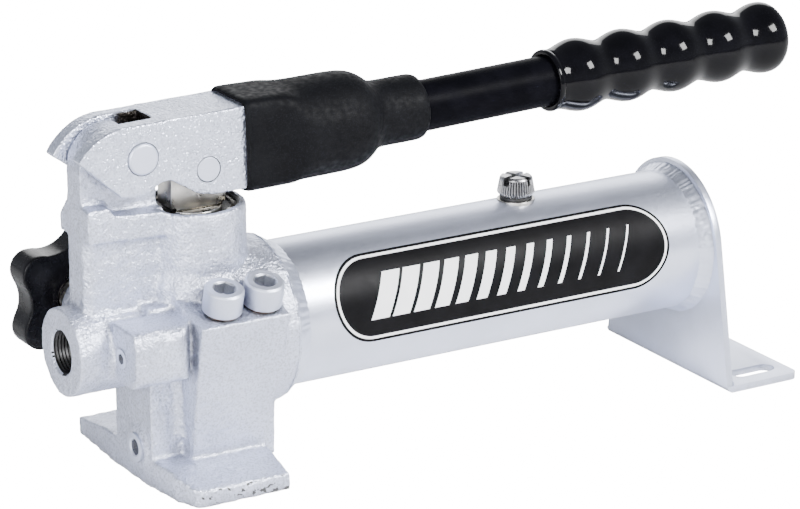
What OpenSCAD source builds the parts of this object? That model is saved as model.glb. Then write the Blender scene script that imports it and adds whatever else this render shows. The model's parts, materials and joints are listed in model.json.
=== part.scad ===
// Hydraulic hand pump: cast head with a vertical single-acting piston, forked lever,
// welded reservoir tube, rear foot bracket, release valve, relief valve and check valves.
// Origin: on the ground plane, under the piston axis. +X towards the rear bracket and grip,
// +Y towards the release knob, +Z up. Millimetres.

/* [Reservoir] */
// Outside diameter of the reservoir tube
tube_od = 60; // [58:0.5:62]
// Wall thickness of the reservoir tube
tube_wall = 3; // [2.5:0.1:3.5]
// Height of the reservoir axis above the ground
tube_z = 58.2; // [57.5:0.1:59]
// Front face of the rear bracket plate, from the piston axis
bracket_x = 232.5; // [220:0.5:240]
// Width of the rear bracket at the ground
bracket_w = 92; // [88:1:96]
// Thickness of the bent bracket plate
bracket_t = 3; // [2.5:0.1:3.5]
// Length of the bracket's foot flange, with the plate
flange_len = 37.8; // [36:0.2:40]
// Width of the slots in the foot flange
slot_w = 8.6; // [8.4:0.1:9]
// End-to-end length of the slots in the foot flange
slot_len = 22; // [20:0.5:24]
// Distance between the two slots, across the pump
slot_pitch = 68; // [64:1:70]

/* [Head] */
// Height of the cylinder mouth above the ground
mouth_z = 112.6; // [111.6:0.1:113]
// Outside radius of the cylinder boss
boss_r = 21.7; // [21.5:0.1:22.5]
// Front face of the lever post, ahead of the piston axis
post_x = 52; // [51.5:0.1:52.5]
// Thickness of the lever post where the fork straddles it
post_t = 12.4; // [12:0.1:12.6]
// Outside radius of the outlet boss
port_r = 18.2; // [17.5:0.1:18.5]
// Front face of the outlet boss, ahead of the piston axis
port_x = 59.4; // [58:0.1:60]
// Height of the outlet port axis
port_z = 59; // [58.5:0.1:59.5]
// Wall radius of the outlet thread, size 3/8 NPT
port_bore_r = 8.55; // [8.5:0.01:8.6]
// Angle by which the valve screws lean towards the near side
valve_lean = 15; // [15:0.5:16]

/* [Pump] */
// Radius of the piston
piston_r = 12; // [11.8:0.1:12]
// Height of the lever pivot
pivot_z = 137; // [136.8:0.1:137.2]
// Lever pivot, ahead of the piston axis
pivot_x = 28; // [27.9:0.1:28.1]
// Radius of the lever pivot pin
pivot_r = 6.5; // [6.3:0.05:6.5]
// Radius of the piston pin
pin_r = 5; // [4.9:0.05:5]

/* [Lever and handle] */
// Angle of the lever above level, at its lower stop
lever_tilt = 1.1; // [0.9:0.05:1.2]
// Width of the lever bar
lever_w = 28; // [27.5:0.1:28.5]
// Width of the lever's fork slot
fork_w = 13.4; // [13.3:0.05:13.6]
// Diameter of the handle tube
handle_d = 21.3; // [21:0.1:22]
// Angle by which the handle rises from the lever bar
handle_rise = 0.8; // [0.6:0.05:1]
// Far end of the grip, from the end of the lever bar
grip_end = 249.8; // [247:0.2:252]
// Distance between the finger lobes of the grip
lobe_pitch = 23.8; // [23.5:0.1:24]

/* [Release knob] */
// Radius over the tips of the star knob
knob_tip_r = 28.3; // [28:0.1:29]
// Thickness of the star knob
knob_t = 14; // [13:0.1:14.5]

/* [Hidden] */
$fn = 64;
eps = 0.01;
tube_r = tube_od / 2;
tube_id_r = tube_r - tube_wall;
press = 0.02;              // radial gap that stands for a press or thread fit
run = 0.05;                // radial running clearance
silver = "#c9cbce";
steel = "#8d8f92";
black = "#1b1c1f";

collar_r = tube_r + 4.5;
collar_end = 31;
weld_end = 37;
tube_start = 23;
head_front = 28.5;         // front face of the lower body, ahead of the piston axis
body_y = 16;               // half width of the lower body
ledge_y = 13;              // half width of the ledges beside the post
ledge_z = 119.2;
gland_r = 18;
gland_z0 = 90;
gland_z1 = mouth_z - 1.6;
cyl_z0 = 52;
relief_y = -24;
relief_z = 61;
relief_x = -44.5;
knob_x = -34.7;
knob_z = 68;
knob_y = 33;
seat_x = [-3.6, 14.4];     // delivery valve, suction valve
seat_y = -30.4;
seat_z = 75.2;
spot_r = 8.5;               // spot face under the valve screw heads
gallery_z = 38.2;          // cross drillings below the check valves
gallery_y = -20.5;
plug_y = -4.2;
plug_z = 14.6;
filler_x = 153;
slot_x = bracket_x + flange_len - 5.3 - slot_len / 2;

// Piston pin, from the lever pivot, in the lever's own level frame
pin_x = 28.4;
pin_z = -9.1;
// Lever bar, from the pivot, in the lever's own level frame
bar_top = 14;
bar_bot = -20;
bar_mid = (bar_top + bar_bot) / 2;
bar_end = 66;
nose_r = 26.3;
nose_x = -6;
slot_end = 10.2;
handle_z = -5.05;          // handle axis where it leaves the bar
spigot_r = 15;
spigot_len = 30;
tang_w = 24.4;             // piston's flat tang
tang_t = 12;
tang_z = 111.6;
pocket_r = 14.2;           // room for the tang's head in the lever
eye_travel = 1.7;          // half of the free travel of the pin along the piston's eye
eye_gap = 0.4;
eye_x = pin_x * cos(lever_tilt) - pin_z * sin(lever_tilt) - pivot_x - 0.28;
eye_z = pin_x * sin(lever_tilt) + pin_z * cos(lever_tilt) + pivot_z;
lobe_r = 7.7;
lobe_d = knob_tip_r - lobe_r;

module at_pivot() {
  translate([-pivot_x, 0, pivot_z]) children();
}
module lever_frame() {
  at_pivot() rotate([0, -lever_tilt, 0]) children();
}
module handle_frame() {
  lever_frame() translate([bar_end, 0, handle_z]) rotate([0, -handle_rise, 0]) children();
}
// Cylinders along X and Y, starting at the current place
module cyl_x(r, l) {
  rotate([0, 90, 0]) cylinder(r = r, h = l);
}
module cyl_y(r, l) {
  rotate([-90, 0, 0]) cylinder(r = r, h = l);
}
// An outline drawn in X and Z, extruded evenly to both sides of Y = 0
module side_plate(w) {
  rotate([90, 0, 0]) linear_extrude(height = w, center = true) children();
}
module ring(r_in, r_out, h) {
  difference() {
    cylinder(r = r_out, h = h);
    translate([0, 0, -1]) cylinder(r = r_in, h = h + 2);
  }
}
module torus(r_mid, r_wire) {
  rotate_extrude() translate([r_mid, 0]) circle(r = r_wire, $fn = 24);
}
// A frame at the mouth of valve number i, +Z out of the casting
module valve_frame(i) {
  translate([seat_x[i], seat_y, seat_z]) rotate([valve_lean, 0, 0]) children();
}
// A closed coil spring along +Z: mean radius, wire radius, length, turns
module coil(r, w, len, turns, steps = 14, sides = 6) {
  n = turns * steps;
  pts = [for (i = [0 : n]) for (k = [0 : sides - 1])
    let (a = 360 * i / steps, q = 360 * k / sides, rr = r + w * cos(q))
    [rr * cos(a), rr * sin(a), w + (len - 2 * w) * i / n + w * sin(q)]];
  walls = [for (i = [0 : n - 1]) for (k = [0 : sides - 1])
    let (a = i * sides + k, b = i * sides + (k + 1) % sides)
    [a, a + sides, b + sides, b]];
  cap0 = [[for (k = [0 : sides - 1]) k]];
  cap1 = [[for (k = [sides - 1 : -1 : 0]) n * sides + k]];
  polyhedron(points = pts, faces = concat(walls, cap0, cap1), convexity = 8);
}

/* ---- head casting ---- */
module foot() {
  intersection() {
    linear_extrude(height = 20)
      polygon([[-26.2, 56], [-28.6, 22], [-28.9, 5], [-28.6, -14], [-26.6, -33], [-23, -42.5],
        [-20.5, -44.5], [19, -44.5], [20, 56]]);
    translate([-40, 0, 0]) rotate([90, 0, 90]) linear_extrude(height = 80)
      polygon([[-44.5, 0], [-44.5, 6.6], [-43.5, 7.6], [-27, 12.5], [27, 12.5], [55, 7.6],
        [56, 6.6], [56, 0]]);
  }
}
module valve_block() {
  translate([2.6, seat_y, seat_z]) rotate([valve_lean, 0, 0]) translate([0, 7, 0])
    side_plate(34) polygon([[-20, 0], [20.2, 0], [16.2, -66], [-16.8, -66]]);
}
module far_block() {
  translate([2.6, 18, 0]) side_plate(22) polygon([[-19, 66], [19, 66], [15, 5], [-15, 5]]);
}
module post_outline() {
  difference() {
    union() {
      translate([-35, 132.5]) circle(r = post_x - 35);
      translate([-pivot_x, pivot_z]) circle(r = 9.5);
      translate([-post_x, 60]) square([post_x - 18.5, 72.5]);
      translate([-35, 130]) square([7, 16.5]);
    }
    translate([-33, 146.5]) rotate(-24) square([30, 10]);
  }
}
module post() {
  side_plate(post_t) post_outline();
  linear_extrude(height = ledge_z - 4)
    polygon([[-post_x, -6.2], [-post_x + 3, -9], [-10, -9], [-10, 9], [-post_x + 3, 9],
      [-post_x, 6.2]]);
}
module post_ledges() {
  difference() {
    side_plate(2 * ledge_y) polygon([[-post_x, 105], [-post_x, ledge_z], [-42.5, ledge_z],
      [-40, 115.7], [-20, 114.2], [-8, 110], [-8, 103]]);
    // sloping shoulder of the far ledge
    translate([-60, ledge_y + 0.1, 112]) rotate([36, 0, 0]) cube([60, 12, 20]);
  }
}
// A square with round corners
module soft_square(side, corner) {
  square([side - 2 * corner, side], center = true);
  square([side, side - 2 * corner], center = true);
  for (i = [-1, 1]) for (j = [-1, 1])
    translate([i, j] * (side / 2 - corner)) circle(r = corner);
}
module relief_boss() {
  side = 24;
  len = 26.5;
  translate([relief_x, relief_y, relief_z + 1]) {
    intersection() {
      rotate([90, 0, 90]) linear_extrude(height = len) soft_square(side, 6);
      linear_extrude(height = 2 * side, center = true)
        translate([len - 20, 20 - side / 2]) soft_square(40, 8);
      translate([0, -side / 2, -side]) cube([len, 40, 2 * side]);
    }
    translate([1, -5, -9]) cube([32, 21, 18]);
  }
}
module head_body() {
  foot();
  difference() {
    union() {
      translate([-head_front, -body_y, 4]) cube([head_front + 28, 2 * body_y, 72]);
      translate([-post_x + 3, -9, 62]) cube([40, 18, 20]);
      post();
    }
    // front of the lower body below the outlet boss
    translate([-70, -30, 0]) cube([70 - head_front, 60, 58]);
  }
  valve_block();
  far_block();
  post_ledges();
  relief_boss();
  translate([0, 0, 20]) cylinder(r = 24, h = 63);
  translate([0, 0, 82.9]) cylinder(r1 = 24, r2 = boss_r, h = 4);
  translate([0, 0, 80]) cylinder(r = boss_r, h = mouth_z - 81);
  translate([0, 0, mouth_z - 1 - eps]) cylinder(r1 = boss_r, r2 = boss_r - 1, h = 1 + eps);
  translate([-port_x, 0, port_z]) cyl_x(port_r, port_x - 10);
  translate([0, 0, tube_z]) rotate([0, 90, 0]) rotate_extrude()
    polygon([[0, 2], [29, 2], [31, 7], [33.4, 13], [collar_r, 20], [collar_r, collar_end],
      [0, collar_end]]);
  translate([knob_x, 0, knob_z]) cyl_y(12.5, 25);
  translate([-head_front - 1.2, plug_y, plug_z]) cyl_x(8.6, 3);
}
module head_drillings() {
  // cylinder, gland thread and mouth chamfer
  translate([0, 0, cyl_z0]) cylinder(r = piston_r + run, h = 50);
  translate([0, 0, gland_z0]) cylinder(r = gland_r, h = 40);
  translate([0, 0, mouth_z - 1]) cylinder(r1 = gland_r, r2 = gland_r + 1.5, h = 1.5);
  translate([0, 0, cyl_z0 - 18]) cylinder(r = 2, h = 19);
  // outlet port with its chamfer
  translate([-port_x - 1, 0, port_z]) cyl_x(port_bore_r, 16);
  translate([-port_x - eps, 0, port_z]) rotate([0, 90, 0])
    cylinder(r1 = port_bore_r + 1, r2 = port_bore_r, h = 1);
  translate([-46, 0, port_z]) cyl_x(3, 30);
  translate([-16, -26, port_z]) cyl_y(2, 26);
  translate([-16, -26, port_z]) cyl_x(2, 12.4);
  // lever pivot
  translate([-pivot_x, -20, pivot_z]) cyl_y(pivot_r + press, 40);
  // reservoir socket, suction and return drillings
  translate([tube_start, 0, tube_z]) cyl_x(tube_r + press, 40);
  translate([seat_x[1], 0, gallery_z]) cyl_x(4.5, 20);
  translate([seat_x[1], gallery_y, gallery_z]) cyl_y(2, -gallery_y);
  translate([knob_x, 16, knob_z]) cyl_x(2, 60);
  translate([0, 0, 53]) rotate([0, 0, -58.7]) cyl_x(1.5, 28);
  translate([seat_x[0], gallery_y, gallery_z]) cyl_y(2, -gallery_y);
  translate([seat_x[0], 0, gallery_z]) cyl_x(2, -seat_x[0]);
  // check valves
  for (i = [0, 1]) valve_frame(i) {
    cylinder(r = spot_r, h = 30);
    translate([0, 0, -22]) cylinder(r = 5, h = 40);
    translate([0, 0, -34]) cylinder(r = 4, h = 13);
    translate([0, 0, -42]) cylinder(r = 2.2, h = 9);
  }
  // relief valve
  translate([relief_x - 1, relief_y, relief_z]) cyl_x(4, 16);
  translate([relief_x + 14, relief_y, relief_z]) cyl_x(3.5, 8.6);
  translate([-23, relief_y, relief_z]) cyl_x(1.5, 8);
  // release valve
  translate([knob_x, 14, knob_z]) cyl_y(8, 12);
  translate([knob_x, 5, knob_z]) cyl_y(5 + run, 15);
  translate([knob_x, 0, knob_z]) cyl_y(1.8, 6);
  translate([knob_x, 0, port_z]) cylinder(r = 1.8, h = knob_z - port_z);
  // front plug
  translate([-head_front - 2, plug_y, plug_z]) cyl_x(6, 12);
  translate([-head_front + 8, plug_y, plug_z]) cyl_x(3, 30);
}
module pump_head() {
  color(silver) difference() {
    head_body();
    head_drillings();
  }
}

/* ---- reservoir ---- */
module reservoir_tube() {
  color(silver) difference() {
    translate([tube_start, 0, tube_z]) cyl_x(tube_r, bracket_x - tube_start);
    translate([tube_start - 1, 0, tube_z]) cyl_x(tube_id_r, bracket_x - tube_start + 2);
    translate([filler_x, 0, tube_z]) cylinder(r = 8, h = 40);
  }
}
module weld_ring(x0, x1, r_top) {
  translate([x0, 0, tube_z]) rotate([0, 90, 0]) rotate_extrude()
    polygon([[tube_r + press, 0], [r_top, 0], [r_top, (x1 - x0) * 0.35],
      [tube_r + (r_top - tube_r) * 0.55, (x1 - x0) * 0.8], [tube_r + press, x1 - x0]]);
}
module front_weld() {
  color(silver) weld_ring(collar_end, weld_end, collar_r - 0.6);
}
module rear_weld() {
  color(silver) translate([2 * bracket_x, 0, 0]) mirror([1, 0, 0])
    weld_ring(bracket_x, bracket_x + 5, tube_r + 4);
}
module bracket_outline() {
  r = 34.8;
  half = bracket_w / 2;
  d = sqrt(half * half + tube_z * tube_z);
  a = atan2(tube_z, half);                 // slope of the line from the corner to the axis
  t = acos(r / d);
  side = -a + t;                           // angle of the tangent point on the +Y side
  union() {
    translate([0, tube_z]) circle(r = r);
    polygon([[-half, 0], [half, 0], [r * cos(side), tube_z + r * sin(side)],
      [-r * cos(side), tube_z + r * sin(side)]]);
  }
}
module slot_hole(y) {
  translate([slot_x, y, -1]) linear_extrude(height = bracket_t + 2) union() {
    square([slot_len - slot_w, slot_w], center = true);
    for (s = [-1, 1]) translate([s * (slot_len - slot_w) / 2, 0]) circle(d = slot_w);
  }
}
module flange_corner(y) {
  // square corner less its rounding
  s = sign(y);
  translate([bracket_x + flange_len - 4, y - s * 4, -1]) difference() {
    translate([0, s > 0 ? 0 : -5, 0]) cube([5, 5, 10]);
    cylinder(r = 4, h = 12);
  }
}
module rear_bracket() {
  color(silver) difference() {
    union() {
      translate([bracket_x, 0, 0]) rotate([90, 0, 90]) linear_extrude(height = bracket_t)
        bracket_outline();
      translate([bracket_x, -bracket_w / 2, 0]) cube([flange_len, bracket_w, bracket_t]);
      translate([bracket_x + bracket_t - eps, -bracket_w / 2, bracket_t - eps])
        difference() {
          cube([2, bracket_w, 2]);
          translate([2, -1, 2]) cyl_y(2, bracket_w + 2);
        }
    }
    for (s = [-1, 1]) slot_hole(s * slot_pitch / 2);
    for (s = [-1, 1]) flange_corner(s * bracket_w / 2);
    // outside of the bend
    translate([bracket_x, -60, 0]) difference() {
      translate([-1, 0, -1]) cube([4, 120, 4]);
      translate([3, -1, 3]) cyl_y(3, 122);
      translate([3, -1, -2]) cube([4, 122, 8]);
      translate([-2, -1, 3]) cube([8, 122, 4]);
    }
  }
}
module filler_boss() {
  color(steel) translate([filler_x, 0, tube_z]) difference() {
    translate([0, 0, 22]) cylinder(r = 8 - press, h = 8.6);
    translate([0, 0, 20]) cylinder(r = 5, h = 20);
  }
}
module filler_cap_seal() {
  color(black) translate([filler_x, 0, tube_z + 30.65]) ring(5.1, 6.9, 1.1);
}
module filler_cap() {
  color(steel) translate([filler_x, 0, tube_z + 31.8]) difference() {
    union() {
      cylinder(r1 = 6.6, r2 = 8.1, h = 1.6);
      translate([0, 0, 1.6]) cylinder(r1 = 8.1, r2 = 6.9, h = 6.2);
      translate([0, 0, 7.8]) cylinder(r1 = 6.9, r2 = 6.2, h = 0.8);
      translate([0, 0, -8.8]) cylinder(r = 4.95, h = 9);
    }
    for (a = [0, 90]) rotate([0, 0, a + 20]) translate([-10, -1, 5.8]) cube([20, 2, 5]);
  }
}
module suction_tube() {
  color(steel) translate([15, 0, gallery_z]) difference() {
    cyl_x(4.5 - press, 58);
    translate([-1, 0, 0]) cyl_x(3, 60);
  }
}
module suction_strainer() {
  color(steel) translate([66, 0, gallery_z]) difference() {
    cyl_x(6.4, 16);
    translate([-1, 0, 0]) cyl_x(4.5, 8.1);
    translate([6, 0, 0]) cyl_x(5.2, 8.5);
  }
}
// Plain decal on the near side of the tube
module label() {
  lw = 163;
  lh = 18.2;
  color("whitesmoke") translate([49, 0, tube_z]) intersection() {
    difference() {
      cyl_x(tube_r + 0.4, lw);
      translate([-1, 0, 0]) cyl_x(tube_r + 0.05, lw + 2);
    }
    rotate([-19.5, 0, 0]) translate([lh, -10, 0]) rotate([90, 0, 0])
      linear_extrude(height = 40) union() {
        circle(r = lh);
        translate([0, -lh]) square([lw - 2 * lh, 2 * lh]);
        translate([lw - 2 * lh, 0]) circle(r = lh);
      }
  }
}

/* ---- piston and gland ---- */
module eye_slot() {
  translate([eye_x, 0, eye_z]) rotate([90, 0, 0]) linear_extrude(height = 40, center = true)
    union() {
      square([2 * eye_travel, 2 * (pin_r + eye_gap)], center = true);
      for (s = [-1, 1]) translate([s * eye_travel, 0]) circle(r = pin_r + eye_gap);
    }
}
module piston() {
  color(steel) difference() {
    union() {
      translate([0, 0, cyl_z0 + 2]) cylinder(r = piston_r, h = tang_z - 1 - cyl_z0 - 2);
      intersection() {
        translate([0, 0, tang_z - 2]) cylinder(r = piston_r, h = 4);
        cube([40, tang_t, 400], center = true);
      }
      side_plate(tang_t) union() {
        translate([0, eye_z]) circle(r = tang_w / 2);
        translate([-tang_w / 2, tang_z]) square([tang_w, eye_z - tang_z]);
      }
    }
    eye_slot();
  }
}
module gland_nut() {
  color("#2b2a26") difference() {
    translate([0, 0, gland_z0 + 6]) cylinder(r = gland_r - press, h = gland_z1 - gland_z0 - 6);
    translate([0, 0, gland_z0]) cylinder(r = piston_r + run, h = 40);
    translate([0, 0, gland_z1 - 4]) cylinder(r = 15.6, h = 10);
    for (a = [45 : 90 : 315]) rotate([0, 0, a]) translate([16.8, 0, gland_z1 - 3])
      cylinder(r = 1, h = 6, $fn = 20);
  }
}
module wiper_ring() {
  color(black) translate([0, 0, gland_z1 - 4 + press]) difference() {
    cylinder(r = 15.6 - press, h = 3.2);
    translate([0, 0, -1]) cylinder(r = piston_r + run, h = 6);
    translate([0, 0, 2]) cylinder(r1 = 12.6, r2 = 15.2, h = 1.6);
  }
}
module piston_seal() {
  color(black) translate([0, 0, gland_z0 + press]) ring(piston_r + run, gland_r - 0.1, 3.9);
}
module backup_ring() {
  color("ivory") translate([0, 0, gland_z0 + 4]) ring(piston_r + run, gland_r - 0.1, 1.9);
}

/* ---- lever and handle, drawn level about the pivot ---- */
// Outline of one cheek, with the tip of its nose and the lowest point of its arch
module cheek_outline(tip, arch_z) {
  intersection() {
    polygon([tip, [-9.9, -14.2], [-3.2, -15.3], [0.5, -15.0], [7.2, arch_z - 0.6],
      [11.5, arch_z], [23.6, -18.4], [31, bar_bot + 0.1], [34, bar_bot], [bar_end, bar_bot],
      [bar_end, bar_top], [tip[0], bar_top]]);
    union() {
      translate([nose_x, bar_top - nose_r]) circle(r = nose_r);
      translate([nose_x, -40]) square([100, 80]);
    }
  }
}
module lever_pocket_outline() {
  // room for the piston's tang over the whole stroke, and the post's slot ahead of it
  translate([pin_x, pin_z]) circle(r = pocket_r);
  translate([0, -40]) square([pin_x + pocket_r, 40 + pin_z]);
  translate([0, -40]) square([22, 40]);
  translate([-60, -40]) square([60 + 7.6, 80]);
  circle(r = slot_end);
}
module lever() {
  color(silver) difference() {
    union() {
      lever_frame() translate([0, -lever_w / 4, 0]) side_plate(lever_w / 2)
        cheek_outline([-27.3, 2.6], -10.6);
      lever_frame() translate([0, lever_w / 4, 0]) side_plate(lever_w / 2)
        cheek_outline([-29.1, 1], -13.6);
      handle_frame() translate([-6, 0, 0]) cyl_x(spigot_r, spigot_len + 6);
    }
    lever_frame() {
      side_plate(fork_w) lever_pocket_outline();
      translate([0, -20, 0]) cyl_y(pivot_r + run, 40);
      translate([pin_x, -20, pin_z]) cyl_y(pin_r + press, 40);
    }
    handle_frame() {
      translate([-6, 0, 0]) cyl_x(handle_d / 2 + press, 50);
      translate([18, -20, 0]) cyl_y(3 + press, 40);
    }
  }
}
module pivot_pin() {
  color(silver) at_pivot() translate([0, -lever_w / 2 - 1, 0]) rotate([-90, 0, 0]) {
    cylinder(r1 = pivot_r - 0.8, r2 = pivot_r, h = 0.8);
    translate([0, 0, 0.8]) cylinder(r = pivot_r, h = lever_w + 0.4);
    translate([0, 0, lever_w + 1.2]) cylinder(r1 = pivot_r, r2 = pivot_r - 0.8, h = 0.8);
  }
}
module piston_pin() {
  color(silver) lever_frame() translate([pin_x, -lever_w / 2, pin_z]) cyl_y(pin_r, lever_w);
}
module handle_tube() {
  color(black) handle_frame() difference() {
    translate([-5.5, 0, 0]) cyl_x(handle_d / 2, grip_end - 5);
    translate([-7, 0, 0]) cyl_x(handle_d / 2 - 2.5, grip_end);
    translate([18, -20, 0]) cyl_y(3 + press, 40);
  }
}
module handle_cross_pin() {
  color(steel) handle_frame() translate([18, -14.5, 0]) cyl_y(3, 29);
}
// A thin slice of the boot, as high and wide as the bar plus the rubber
module boot_slice(x, w, top) {
  corner = 4;
  translate([x, 0, 0]) rotate([90, 0, 90]) linear_extrude(height = 0.5) hull()
    for (y = [-1, 1]) for (z = [bar_bot - 2.2 + corner, top - corner])
      translate([y * (w / 2 - corner), z]) circle(r = corner, $fn = 32);
}
module sleeve_body() {
  bulb_r = 20.7;
  bulb_z = -3.5;
  neck_r = 13.7;
  hull() {
    boot_slice(44.7, 32, 15.2);
    boot_slice(57, 32.4, 15.4);
  }
  hull() {
    boot_slice(57, 32.4, 15.4);
    translate([70, 0, bulb_z]) cyl_x(bulb_r, 1);
  }
  translate([0, 0, bulb_z]) rotate([0, 90, 0]) rotate_extrude()
    polygon(concat([[0, 70]], [[bulb_r, 70]],
      [for (a = [0 : 7.5 : 75]) [11.2 + (bulb_r - 11.2) * cos(a), 96.5 + 13.5 * sin(a)]],
      [[neck_r, 112], [neck_r, 130], [neck_r - 0.6, 131], [neck_r - 1.6, 131.5], [0, 131.5]]));
}
module handle_sleeve() {
  color("#24262b") difference() {
    lever_frame() sleeve_body();
    lever_frame() translate([40, -lever_w / 2 - 0.05, bar_bot - 0.05])
      cube([bar_end - 40 + 0.05, lever_w + 0.1, bar_top - bar_bot + 0.1]);
    handle_frame() {
      translate([-6, 0, 0]) cyl_x(spigot_r + press, spigot_len + 6.1);
      translate([-6, 0, 0]) cyl_x(handle_d / 2 + press, 100);
    }
  }
}
module handle_grip() {
  crest_r = 15.5;
  lobe_h = 3.1;
  dome = 10;                             // from the last lobe's crest to the end
  first = 16.2;                          // from the grip's start to the first crest
  len = first + 4 * lobe_pitch + dome;
  n = 54;
  color(black) handle_frame() translate([grip_end - len, 0, 0]) rotate([0, 90, 0])
    difference() {
      rotate_extrude() polygon(concat(
        [[0, 0], [13, 0], [13.2, 0.6], [13, 1.6], [crest_r - lobe_h, 2.6]],
        [for (i = [2 : n]) let (z = 2.6 + (first + 4 * lobe_pitch - 2.6) * i / n,
            q = (z - first) / lobe_pitch)
          [crest_r - lobe_h * (1 - pow(abs(cos(180 * q)), 1.4)), z]],
        [for (a = [7.5 : 7.5 : 90]) [crest_r * cos(a), len - dome + dome * sin(a)]]));
      translate([0, 0, -1]) cylinder(r = handle_d / 2 + press, h = len - 9);
    }
}

/* ---- release valve ---- */
module knob_outline() {
  valley_r = 14.2;
  valley_d = valley_r + 21;
  difference() {
    union() {
      circle(r = 24.9);
      for (i = [0 : 4]) rotate(72 * i) translate([lobe_d, 0]) circle(r = lobe_r);
    }
    for (i = [0 : 4]) rotate(72 * i + 36) translate([valley_d, 0]) circle(r = valley_r);
  }
}
module release_knob() {
  color(black) translate([knob_x, knob_y + knob_t, knob_z]) rotate([90, 0, 0]) difference() {
    linear_extrude(height = knob_t) knob_outline();
    translate([0, 0, 3]) cylinder(r = 9, h = knob_t);
  }
}
module release_hub() {
  color(steel) translate([knob_x, knob_y - 1, knob_z]) difference() {
    cyl_y(9 - press, knob_t - 2 - press);
    translate([0, -1, 0]) cyl_y(5 + press, knob_t + 4);
  }
}
module release_spindle() {
  color(steel) translate([knob_x, 0, knob_z]) {
    translate([0, 9.5, 0]) cyl_y(5, 34.1);
    translate([0, 8, 0]) rotate([-90, 0, 0]) cylinder(r1 = 2.4, r2 = 5, h = 1.5);
  }
}
module release_gland() {
  color(steel) translate([knob_x, 0, knob_z]) difference() {
    union() {
      translate([0, 25.1, 0]) rotate([-90, 30, 0]) cylinder(r = 11, h = 6, $fn = 6);
      translate([0, 18, 0]) cyl_y(8 - press, 8);
    }
    translate([0, 10, 0]) cyl_y(5 + run, 30);
  }
}
module release_oring() {
  color(black) translate([knob_x, 16.4, knob_z]) rotate([90, 0, 0]) torus(6.5, 1.4);
}
module release_ball() {
  color(steel) translate([knob_x, 5.9, knob_z]) sphere(r = 2.0);
}

/* ---- check valves, relief valve and plugs ---- */
module socket_screw(head_r, head_h, shank_r, shank_l, hex_r, hex_h) {
  difference() {
    union() {
      cylinder(r = head_r, h = head_h - 0.8);
      translate([0, 0, head_h - 0.8]) cylinder(r1 = head_r, r2 = head_r - 0.8, h = 0.8);
      translate([0, 0, -shank_l]) cylinder(r = shank_r, h = shank_l + 1);
    }
    translate([0, 0, head_h - hex_h]) cylinder(r = hex_r, h = hex_h + 1, $fn = 6);
    translate([0, 0, head_h - 0.7]) cylinder(r1 = hex_r - 0.4, r2 = hex_r + 0.4, h = 0.8);
  }
}
module valve_screws() {
  color(silver) for (i = [0, 1]) valve_frame(i) translate([0, 0, 1.05])
    socket_screw(8, 10, 5 - press, 19, 4.62, 5.5);
}
module valve_washers() {
  color("#b87333") for (i = [0, 1]) valve_frame(i) translate([0, 0, press]) ring(5.1, 7.4, 1);
}
module check_ball(i) {
  color(steel) valve_frame(i) translate([0, 0, -31.35]) sphere(r = 3.4);
}
module check_spring(i) {
  color(steel) valve_frame(i) translate([0, 0, -28.2]) coil(3, 0.4, 10, 5);
}
module delivery_ball() { check_ball(0); }
module suction_ball() { check_ball(1); }
module delivery_spring() { check_spring(0); }
module suction_spring() { check_spring(1); }
module relief_screw() {
  color(steel) translate([relief_x - 0.4, relief_y, relief_z]) difference() {
    cyl_x(4 - press, 8);
    translate([-1, 0, 0]) rotate([0, 90, 0]) cylinder(r = 2.31, h = 4, $fn = 6);
  }
}
module relief_spring() {
  color(steel) translate([relief_x + 8, relief_y, relief_z]) rotate([0, 90, 0])
    coil(2.6, 0.5, 10.6, 5);
}
module relief_ball() {
  color(steel) translate([-23.6, relief_y, relief_z]) sphere(r = 2.2);
}
module front_plug() {
  color(steel) translate([-head_front - 1.9, plug_y, plug_z]) difference() {
    cyl_x(6 - press, 9);
    translate([-1, 0, 0]) rotate([0, 90, 0]) cylinder(r = 3.46, h = 5, $fn = 6);
    translate([-eps, 0, 0]) rotate([0, 90, 0]) cylinder(r1 = 4, r2 = 3.3, h = 0.6);
  }
}

pump_head();
reservoir_tube();
front_weld();
rear_bracket();
rear_weld();
filler_boss();
filler_cap();
filler_cap_seal();
piston();
piston_seal();
backup_ring();
gland_nut();
wiper_ring();
lever();
pivot_pin();
piston_pin();
handle_tube();
handle_cross_pin();
handle_sleeve();
handle_grip();
release_knob();
release_hub();
release_spindle();
release_gland();
release_oring();
release_ball();
valve_screws();
valve_washers();
suction_ball();
suction_spring();
delivery_ball();
delivery_spring();
relief_screw();
relief_spring();
relief_ball();
front_plug();
suction_tube();
suction_strainer();
label();
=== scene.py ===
"""Looks for the hydraulic hand pump: a detailed visual piece for every CAD node that shows."""

import json
import math

import bmesh
import bpy
import numpy as np
from mathutils import Matrix, Vector, noise


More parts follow.
